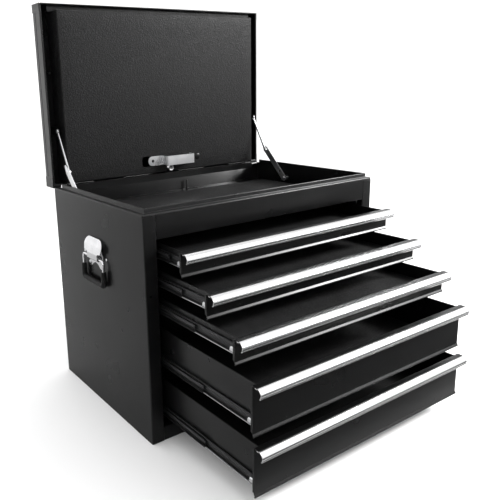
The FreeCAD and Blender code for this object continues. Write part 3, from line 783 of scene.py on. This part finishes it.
def lid_tab(name, side):
    """Welded tab inside the lid that carries the upper link, with its stud."""
    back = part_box("lid_shell")[1].y - SHEET - 0.6 * MM
    at = joint_place(name + "_stay_upper_pivot")
    place = at.x - side * 1.3 * MM
    half, taper_from = 11 * MM, 50 * MM

    def half_width(along):
        return half - 0.5 * max(0, along - taper_from)

    path = rounded([(place - side * 10 * MM, back), (place, back), (place, at.y - 6.5 * MM)], 2 * MM)
    bm = bmesh.new()
    add_bent_strip(bm, "z", stations(path, 3 * MM), 1.8 * MM, at.z, half_width)
    finish_piece(mesh_object(name + "_lid_tab", bm), "lid", "powder_coat", 0.25 * MM)
    pin, reach = 2.9 * MM, 2.6 * MM
    profile = [(pin, -1 * MM), (pin, reach), (5 * MM, reach + 0.1 * MM), (4.8 * MM, reach + 0.8 * MM),
               (3 * MM, reach + 1.4 * MM), (0, reach + 1.6 * MM)]
    bm = bmesh.new()
    add_lathe(bm, profile, (at.x - side * 0.3 * MM, at.y, at.z), (side, 0, 0), 24)
    finish_piece(mesh_object(name + "_lid_stud", bm), "lid", "zinc_plate", 0.15 * MM)


def lower_link(name, side):
    """Stay link: a plate with a round eye, a tail that tapers beyond the knuckle, a hole and two rivets."""
    node = name + "_stay_lower"
    low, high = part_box(node)
    eye = 9 * MM
    pivot = Vector((low.y + eye, low.z + eye))
    knuckle = Vector((high.y - eye, high.z - eye))
    along = (knuckle - pivot).normalized()
    across = Vector((-along.y, along.x))

    def half_circle(centre, radius, start):
        angles = [math.radians(start + 15 * step) for step in range(13)]
        return [centre + (along * math.cos(angle) + across * math.sin(angle)) * radius for angle in angles]

    taper = knuckle + along * 3 * MM
    tail = knuckle + along * 18 * MM
    outline = half_circle(pivot, eye, 90) + [taper - across * eye]
    outline += half_circle(tail, 3.5 * MM, -90) + [taper + across * eye]
    inner = link_inner_face(name, side)
    outer = inner + side * 1.5 * MM
    plate = prism(node + "_plate", outline, "x", *sorted((inner, outer)))
    hole = [point + pivot + along * 24 * MM for point in disc(3 * MM, 24)]
    bm = bmesh.new()
    add_prism(bm, hole, "x", inner - 5 * MM, inner + 5 * MM)
    punch(plate, bm)
    finish_piece(plate, name + "_lower_link", "zinc_plate", 0.25 * MM, (node,))
    spots = [(outer, *(knuckle + along * step * MM)) for step in (-9, 0)]
    rivets(node + "_rivets", spots, (side, 0, 0), 4.2 * MM, 1.2 * MM, name + "_lower_link", "zinc_plate")


def inner_panel():
    """Panel with rolled edges all round, a pocket beside the strap, and a stud at the strap's other end."""
    low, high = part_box("lid_inner_panel")
    face = low.y
    path = [(40 * MM, face + SKIN), (SKIN, face + SKIN), (SKIN, high.y - 1 * MM)]
    bm = bmesh.new()
    add_pan(bm, (-PANEL_HALF, low.z), (PANEL_HALF, PANEL_TOP), 3 * MM, ribbon(path, SHEET, 2.4 * MM))
    panel = mesh_object("lid_inner_panel_formed", bm)
    strap_low, strap_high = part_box("lid_strap")
    height = (strap_low.z + strap_high.z) / 2
    centre, half, tall = strap_low.x - 5 * MM, 13 * MM, 14 * MM
    corners = [(centre - half, height - tall), (centre + half, height - tall),
               (centre + half, height + tall), (centre - half, height + tall)]
    bm = bmesh.new()
    add_prism(bm, rounded(corners, 8 * MM, 6, closed=True), "y", face - 5 * MM, face + 5 * MM)
    punch(panel, bm)
    rivets("strap_end_stud", [(strap_high.x - 13 * MM, face, height)], (0, -1, 0), 9 * MM, 2.5 * MM, "lid",
           "powder_coat")
    finish_piece(panel, "lid", "textured_coat", 0, ("lid_inner_panel",))


def panel_step():
    """The step at the panel's top: a narrow shelf that runs back, and a wide strip that stands on it."""
    low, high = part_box("lid_inner_panel")
    top = PANEL_TOP - SHEET
    half = PANEL_HALF - 2 * MM
    bm = bmesh.new()
    add_block(bm, (-half, low.y + 3 * MM, top - SHEET), (half, PANEL_SHELF, top))
    add_block(bm, (low.x, PANEL_SHELF, top - SHEET), (high.x, PANEL_SHELF + SHEET, high.z))
    finish_piece(mesh_object("lid_panel_step", bm), "lid", "textured_coat", 0.4 * MM)


def strap():
    """Bridge-shaped strap with round-ended feet and a hole in one foot."""
    low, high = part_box("lid_strap")
    sheet = 2 * MM
    half = (high.z - low.z) / 2
    middle = (low.z + high.z) / 2
    left, right = low.x + 47 * MM, high.x - 43 * MM
    front, foot = low.y + sheet / 2, high.y - sheet / 2
    corners = [(low.x, foot), (left, foot), (left, front),
               (right, front), (right, foot), (right + 14 * MM, foot)]
    path = stations(rounded(corners, 3 * MM, 6), 1.2 * MM)
    total = path_length(path)

    def half_width(along):
        short = half - min(along, total - along, half)
        return max(0.4 * MM, math.sqrt(half ** 2 - short ** 2))

    bm = bmesh.new()
    add_bent_strip(bm, "z", path, sheet, middle, half_width)
    piece = mesh_object("lid_strap_formed", bm)
    hole = [(point.x + low.x + half + 2 * MM, point.y + middle) for point in disc(4.2 * MM, 28)]
    bm = bmesh.new()
    add_prism(bm, hole, "y", high.y - 6 * MM, high.y + 3 * MM)
    punch(piece, bm)
    finish_piece(piece, "lid", "zinc_plate", 0.35 * MM, ("lid_strap",))


def lock_barrel():
    """Turned lock barrel with a stepped bezel, open in the middle for the plug."""
    low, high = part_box("lock_barrel")
    centre = (low + high) / 2
    radius = (high.x - low.x) / 2
    length = high.y - low.y
    profile = [(radius - 0.3 * MM, -length), (radius - 0.3 * MM, -7 * MM), (radius + 2.4 * MM, -6.4 * MM),
               (radius + 2.6 * MM, -4.6 * MM), (radius + 0.6 * MM, -1.2 * MM), (radius - 0.6 * MM, 0),
               (radius - 1.8 * MM, -0.2 * MM), (radius - 2.4 * MM, -1.6 * MM), (radius - 2.45 * MM, -length)]
    loops = [[(centre.x + out * spoke.x, low.y - height, centre.z + out * spoke.y) for out, height in profile]
             for spoke in disc(1, 48)]
    bm = bmesh.new()
    add_loft(bm, loops, wrap_loops=True)
    finish_piece(mesh_object("lock_barrel_turned", bm), "lid", "chrome_plate", 0.1 * MM, ("lock_barrel",))


def lock_plug():
    """Plug with a keyway, set back a little in the barrel."""
    barrel_low, barrel_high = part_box("lock_barrel")
    centre = (barrel_low + barrel_high) / 2
    low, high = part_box("lock_plug")
    radius = (high.x - low.x) / 2
    face = low.y + 1.2 * MM
    profile = [(radius, face - high.y), (radius, -0.4 * MM), (radius - 0.4 * MM, 0), (0, 0)]
    bm = bmesh.new()
    add_lathe(bm, profile, (centre.x, face, centre.z), (0, -1, 0), 40)
    plug = mesh_object("lock_plug_turned", bm)
    bm = bmesh.new()
    add_block(bm, (centre.x - 0.8 * MM, face - 2 * MM, centre.z - 4.2 * MM),
              (centre.x + 0.8 * MM, face + 4 * MM, centre.z + 4.2 * MM))
    punch(plug, bm)
    finish_piece(plug, "lock_core", "chrome_plate", 0.1 * MM, ("lock_plug",))


# ---------------------------------------------------------------- handles

PLATE_HALF = 36 * MM
PLATE_BELOW = 13 * MM
HOOD_HALF = 42 * MM
HOOD_MIDDLE = -5 * MM
HOOD_NECK = HOOD_HALF - 3 * MM
HOOD_CORNER = 20 * MM
HOOD_END = 32 * MM
ROLL_HALF = 25 * MM
ROLL_RADIUS = 5.5 * MM - HANDLE_SHEET / 2


def handle_plate(name, side, wall, pivot):
    """Pressed wall plate with an arched foot and a narrower top."""
    low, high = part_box("handle_plates")
    half = PLATE_HALF
    foot = low.z - PLATE_BELOW
    outline = [(-half, pivot.z), (-half, foot + 4 * MM), (4 * MM - half, foot),
               (13 * MM - half, foot + 2 * MM)]
    steps = 12
    for step in range(steps + 1):
        share = 2 * step / steps - 1
        rise = 11 * MM * math.cos(share * math.pi / 2)
        outline.append((share * (half - 15 * MM), foot + 2 * MM + rise))
    outline += [(half - 13 * MM, foot + 2 * MM), (half - 4 * MM, foot), (half, foot + 4 * MM),
                (half, pivot.z), (22 * MM, high.z - 8 * MM), (16 * MM, high.z),
                (-16 * MM, high.z), (-22 * MM, high.z - 8 * MM)]
    plate = prism(name + "_handle_plate", outline, "x", *sorted((wall, wall + side * HANDLE_SHEET)))
    stands_for = ("handle_plates",) if name == "left" else ()
    finish_piece(plate, "cabinet", "chrome_plate", 0.5 * MM, stands_for)


def hood_half_width(along):
    """Rounded corners at the top, a slow taper down the slope, then a quick step to the rolled barrel."""
    if along < HOOD_CORNER:
        return HOOD_HALF - HOOD_CORNER + math.sqrt(max(0.0, HOOD_CORNER ** 2 - (HOOD_CORNER - along) ** 2))
    if along < HOOD_END:
        return HOOD_HALF - (HOOD_HALF - HOOD_NECK) * (along - HOOD_CORNER) / (HOOD_END - HOOD_CORNER)
    return ROLL_HALF + (HOOD_NECK - ROLL_HALF) * max(0, 1 - (along - HOOD_END) / (2.5 * MM))


def handle_hood(name, side, wall, pivot):
    """Sloping hood that ends in the barrel rolled round the bail, and the rivets about it."""
    low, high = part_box("handle_plates")
    top = Vector((wall + side * 3.5 * MM, high.z + 4 * MM))
    nose = Vector((pivot.x + side * ROLL_RADIUS, pivot.z + 9 * MM))
    bulge = top.lerp(nose, 0.45) + Vector((side * 1.2 * MM, 0.6 * MM))
    turns = [-math.pi * step / 10 for step in range(15)]
    roll = [Vector((pivot.x + side * ROLL_RADIUS * math.cos(turn), pivot.z + ROLL_RADIUS * math.sin(turn)))
            for turn in turns]
    path = stations(rounded([top, bulge, nose], 40 * MM, 8), 1.2 * MM) + roll
    bm = bmesh.new()
    add_bent_strip(bm, "y", path, HANDLE_SHEET, HOOD_MIDDLE, hood_half_width)
    finish_piece(mesh_object(name + "_handle_hood", bm), "cabinet", "chrome_plate", 0.4 * MM)
    reach, height = PLATE_HALF - 6 * MM, low.z - PLATE_BELOW + 9 * MM
    spots = [(wall + side * HANDLE_SHEET, across, height) for across in (-reach, reach)]
    rivets(name + "_handle_rivets", spots, (side, 0, 0), 3.6 * MM, 1.8 * MM, "cabinet", "zinc_plate")
    rivets(name + "_hood_rivet", [(nose.x, 27 * MM, nose.y + 3 * MM)], (side, 0, 0.25), 4.2 * MM, 1.6 * MM,
           "cabinet", "zinc_plate")
    rivets(name + "_wall_rivet", [(wall, -PLATE_HALF - 14 * MM, pivot.z + 3 * MM)], (side, 0, 0), 3.2 * MM,
           1.4 * MM, "cabinet", "zinc_plate")


def handle_bail(name, pivot):
    """Bent wire bail, and the grip moulded over its lower run, a little thicker in the middle."""
    low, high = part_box(name + "_bail")
    body = name + "_handle"
    wire, inner_end = 3 * MM, 19 * MM
    reach = (high.y - low.y) / 2 - wire
    base = low.z + wire
    line = [(inner_end, pivot.z), (reach, pivot.z), (reach, base), (-reach, base), (-reach, pivot.z),
            (-inner_end, pivot.z)]
    curve = rounded([(pivot.x, *point) for point in line], 7 * MM, 6)
    bm = bmesh.new()
    add_tube(bm, curve, [wire] * len(curve), 20)
    finish_piece(mesh_object(name + "_bail_bent", bm), body, "chrome_plate", 0, (name + "_bail",))
    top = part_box(name + "_grip")[1].z
    line = [(reach, top), (reach, base), (-reach, base), (-reach, top)]
    curve = stations(rounded([(pivot.x, *point) for point in line], 8 * MM, 8), 3 * MM)
    last = len(curve) - 1
    shares = [1 - abs(2 * index / last - 1) for index in range(1, last)]
    radii = [5.2 * MM] + [(5.9 + 1.1 * min(1, 2.2 * share)) * MM for share in shares] + [5.2 * MM]
    bm = bmesh.new()
    add_tube(bm, curve, radii, 24)
    finish_piece(mesh_object(name + "_grip_moulded", bm), body, "grip_plastic", 0, (name + "_grip",))


def handle(name, side):
    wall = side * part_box("top_rim")[1].x
    pivot = joint_place(name + "_handle_swing")
    handle_plate(name, side, wall, pivot)
    handle_hood(name, side, wall, pivot)
    handle_bail(name, pivot)


# ---------------------------------------------------------------- stage, lights and camera

CAMERA_AT = (-0.8826, -1.1793, 0.7346)
CAMERA_YAW, CAMERA_PITCH, CAMERA_ROLL = (math.radians(angle) for angle in (33.58, 13.40, -1.80))
CAMERA_LENS = 43.1
CAMERA_SHIFT = (0.138, -0.050)
FLOOR_DROP = 0.3 * MM
CARD_DROP = 0.10 * MM
CARD_REACH = 3.2
CARD_SPLIT = -0.56


def camera():
    forward = Vector((math.sin(CAMERA_YAW) * math.cos(CAMERA_PITCH),
                      math.cos(CAMERA_YAW) * math.cos(CAMERA_PITCH), -math.sin(CAMERA_PITCH)))
    level = Vector((math.cos(CAMERA_YAW), -math.sin(CAMERA_YAW), 0))
    up = level.cross(forward)
    right = level * math.cos(CAMERA_ROLL) + up * math.sin(CAMERA_ROLL)
    up = right.cross(forward)
    data = bpy.data.cameras.new("camera")
    data.sensor_width = 36
    data.lens = CAMERA_LENS
    data.shift_x, data.shift_y = CAMERA_SHIFT
    data.clip_start = 0.01
    made = bpy.data.objects.new("camera", data)
    made.matrix_world = Matrix.Translation(CAMERA_AT) @ Matrix((right, up, -forward)).transposed().to_4x4()
    bpy.context.scene.collection.objects.link(made)
    bpy.context.scene.camera = made


def stage():
    """White floor that curves up all round."""
    flat, bend, wall = 3.4, 1.6, 2.0
    steps = 12
    profile = [(0.01, 0.0), (flat / 2, 0.0)]
    for step in range(steps + 1):
        angle = math.pi / 2 * step / steps
        profile.append((flat + bend * math.sin(angle), bend * (1 - math.cos(angle))))
    profile.append((flat + bend, bend + wall))
    loops = [[(radius * point.x, radius * point.y, height) for point in disc(1, 64)]
             for radius, height in profile]
    bm = bmesh.new()
    add_loft(bm, loops, cap=False)
    floor = mesh_object("stage_floor", bm)
    floor.data.materials.append(paper("stage_white", 0.93))
    smooth(floor, math.radians(60))
    floor.location.z = -FLOOR_DROP


def reflection_card(name, front, back, grey):
    """A flat card on the floor that only reflections see, as a studio uses to keep dark paint dark."""
    corners = ((-CARD_REACH, front), (CARD_REACH, front), (CARD_REACH, back), (-CARD_REACH, back))
    bm = bmesh.new()
    bm.faces.new([bm.verts.new((x, y, -CARD_DROP)) for x, y in corners])
    card = mesh_object(name, bm)
    card.data.materials.append(paper(name + "_paper", grey))
    card.visible_camera = False
    card.visible_diffuse = False
    card.visible_shadow = False
    card.visible_transmission = False


def softbox(name, at, towards, size, power):
    data = bpy.data.lights.new(name, "AREA")
    data.shape = "RECTANGLE"
    data.size, data.size_y = size
    data.energy = power
    made = bpy.data.objects.new(name, data)
    made.location = at
    made.rotation_euler = (Vector(towards) - Vector(at)).to_track_quat("-Z", "Y").to_euler()
    bpy.context.scene.collection.objects.link(made)


def lights():
    """An even white surround, a key light from the front right and a soft light from above."""
    world = bpy.data.worlds.new("studio")
    world.use_nodes = True
    background = world.node_tree.nodes["Background"]
    background.inputs["Color"].default_value = (1, 1, 1, 1)
    background.inputs["Strength"].default_value = 1.1
    bpy.context.scene.world = world
    softbox("key_softbox", (2.1, -1.6, 1.75), (0.1, -0.3, 0.3), (1.0, 0.5), 150)
    softbox("top_softbox", (0.0, 0.6, 3.0), (0, -0.1, 0.4), (2.2, 2.2), 30)
    bpy.context.scene.view_settings.view_transform = "Standard"


# ---------------------------------------------------------------- build

dress_cad_nodes()
cabinet()
for drawer_number in DRAWERS:
    drawer(drawer_number)
lid_shell()
for side_name, side_sign in SIDES.items():
    lid_bands(side_name, side_sign)
    lid_corner_tabs(side_name, side_sign)
for side_name, side_sign in SIDES.items():
    lid_tab(side_name, side_sign)
for side_name, side_sign in SIDES.items():
    lower_link(side_name, side_sign)
inner_panel()
panel_step()
strap()
lock_barrel()
lock_plug()
for side_name, side_sign in SIDES.items():
    handle(side_name, side_sign)
stage()
reflection_card("front_card", -CARD_REACH, CARD_SPLIT, 0.07)
reflection_card("side_card", CARD_SPLIT, CARD_REACH, 0.55)
lights()
camera()
